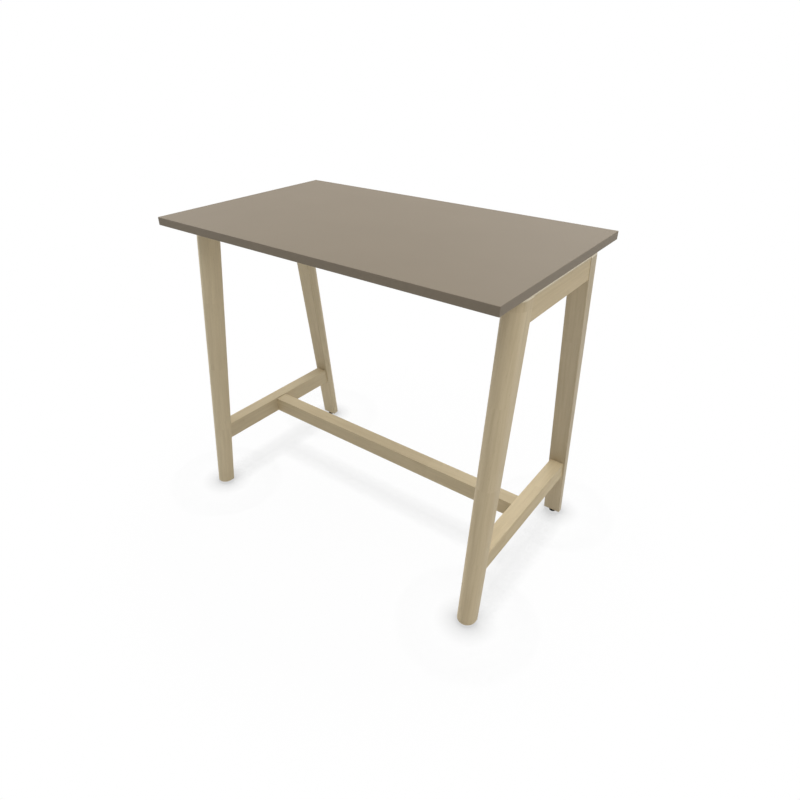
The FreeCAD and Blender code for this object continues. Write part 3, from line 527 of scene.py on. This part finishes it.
# Lamp, its place, the point it looks at, its width and height, its power
LAMPS = (
    ("overhead_softbox", (0.0, 0.0, 7.1), (0.0, 0.0, 0.9), (12.0, 12.0), 318.0),
    ("back_softbox", (0.0, 4.4, 5.6), (0.0, 0.0, 0.8), (4.0, 4.0), 165.0),
    ("right_softbox", (6.8, 0.0, 1.4), (0.0, 0.0, 0.7), (5.2, 2.2), 12.0),
    ("high_right_softbox", (4.2, 0.2, 8.4), (0.4, 0.0, 0.3), (3.4, 3.4), 150.0),
    ("key_softbox", (4.8, -4.0, 5.0), (0.0, 0.0, 0.6), (4.0, 4.0), 68.0),
    ("left_softbox", (-6.5, 0.0, 2.8), (0.0, 0.0, 0.6), (4.0, 4.0), 210.0),
)

CAMERA_PLACE = (1.11743, -1.38980, 1.52333)
CAMERA_TURN = (math.radians(58.48), 0.0, math.radians(36.84))
CAMERA_LENS = 26.551
CAMERA_SENSOR = 36.0
CAMERA_FAR = 100.0


def seen_rays(tree):
    """1 for a ray that shows the background: straight from the camera, off a gloss or through glass."""
    rays = add_node(tree, "ShaderNodeLightPath").outputs
    return summed(tree, rays["Is Camera Ray"], rays["Is Glossy Ray"], rays["Is Transmission Ray"])


def open_share(tree, reach):
    """The share of the sky over the floor that no piece within reach covers."""
    inputs = {"Distance": reach}
    return add_node(tree, "ShaderNodeAmbientOcclusion", inputs, samples=COVER_SAMPLES).outputs["AO"]


def contact_shade(tree):
    """1 on the open floor, less round the feet and below the rails."""
    foot_shade = ranged(tree, open_share(tree, FOOT_REACH), FOOT_CLOSED, 1.0, FOOT_DARK, 1.0)
    below_rails = reckoned(tree, "SUBTRACT", open_share(tree, RAIL_NEAR), open_share(tree, RAIL_FAR))
    rail_shade = ranged(tree, below_rails, 0.0, RAIL_CLOSED, 1.0, RAIL_DARK)
    return reckoned(tree, "MULTIPLY", foot_shade, rail_shade)


def studio_white():
    """Matt white floor. The eye sees the white surround through it, shaded below the rails and round the
    feet, so that a lowered foot and the underside stay in sight."""
    material = bpy.data.materials.new("studio_white")
    material.use_nodes = True
    tree = material.node_tree
    tree.nodes.clear()
    place = piece_place(tree)
    reach = add_node(tree, "ShaderNodeVectorMath", {0: place}, operation="LENGTH").outputs["Value"]
    clear_share = ranged(tree, reach, SHADOW_REACH, WHITE_REACH, SHADOW_CLEAR, 1.0)
    share = reckoned(tree, "MULTIPLY", seen_rays(tree), clear_share)
    matt = add_node(tree, "ShaderNodeBsdfDiffuse", {"Color": FLOOR_MATT}).outputs[0]
    clear = add_node(tree, "ShaderNodeBsdfTransparent", {"Color": contact_shade(tree)}).outputs[0]
    mixed = add_node(tree, "ShaderNodeMixShader", {0: share, 1: matt, 2: clear})
    add_node(tree, "ShaderNodeOutputMaterial", {"Surface": mixed.outputs[0]})
    return material


def make_floor():
    mesh = bpy.data.meshes.new("studio_floor")
    ground = bmesh.new()
    bmesh.ops.create_grid(ground, x_segments=1, y_segments=1, size=FLOOR_REACH)
    ground.to_mesh(mesh)
    ground.free()
    mesh.materials.append(studio_white())
    floor = bpy.data.objects.new("studio_floor", mesh)
    scene.collection.objects.link(floor)


def make_surround():
    """White where it is seen, weaker as a light."""
    world = bpy.data.worlds.new("studio_surround")
    world.use_nodes = True
    scene.world = world
    tree = world.node_tree
    tree.nodes.clear()
    level = ranged(tree, seen_rays(tree), 0.0, 1.0, SURROUND_LEVEL, 1.0)
    background = add_node(tree, "ShaderNodeBackground", {"Color": WHITE, "Strength": level})
    add_node(tree, "ShaderNodeOutputWorld", {"Surface": background.outputs[0]})


def make_lamp(name, place, aim, size, power):
    data = bpy.data.lights.new(name, "AREA")
    data.shape = "RECTANGLE"
    data.size, data.size_y = size
    data.energy = power
    lamp = bpy.data.objects.new(name, data)
    lamp.location = place
    lamp.rotation_euler = (Vector(aim) - Vector(place)).to_track_quat("-Z", "Y").to_euler()
    scene.collection.objects.link(lamp)


def make_camera():
    data = bpy.data.cameras.new("photo_camera")
    data.sensor_width = CAMERA_SENSOR
    data.lens = CAMERA_LENS
    data.clip_end = CAMERA_FAR
    camera = bpy.data.objects.new("photo_camera", data)
    camera.location = CAMERA_PLACE
    camera.rotation_euler = CAMERA_TURN
    scene.collection.objects.link(camera)
    scene.camera = camera


make_floor()
make_surround()
for lamp in LAMPS:
    make_lamp(*lamp)
make_camera()
scene.view_settings.view_transform = "Standard"
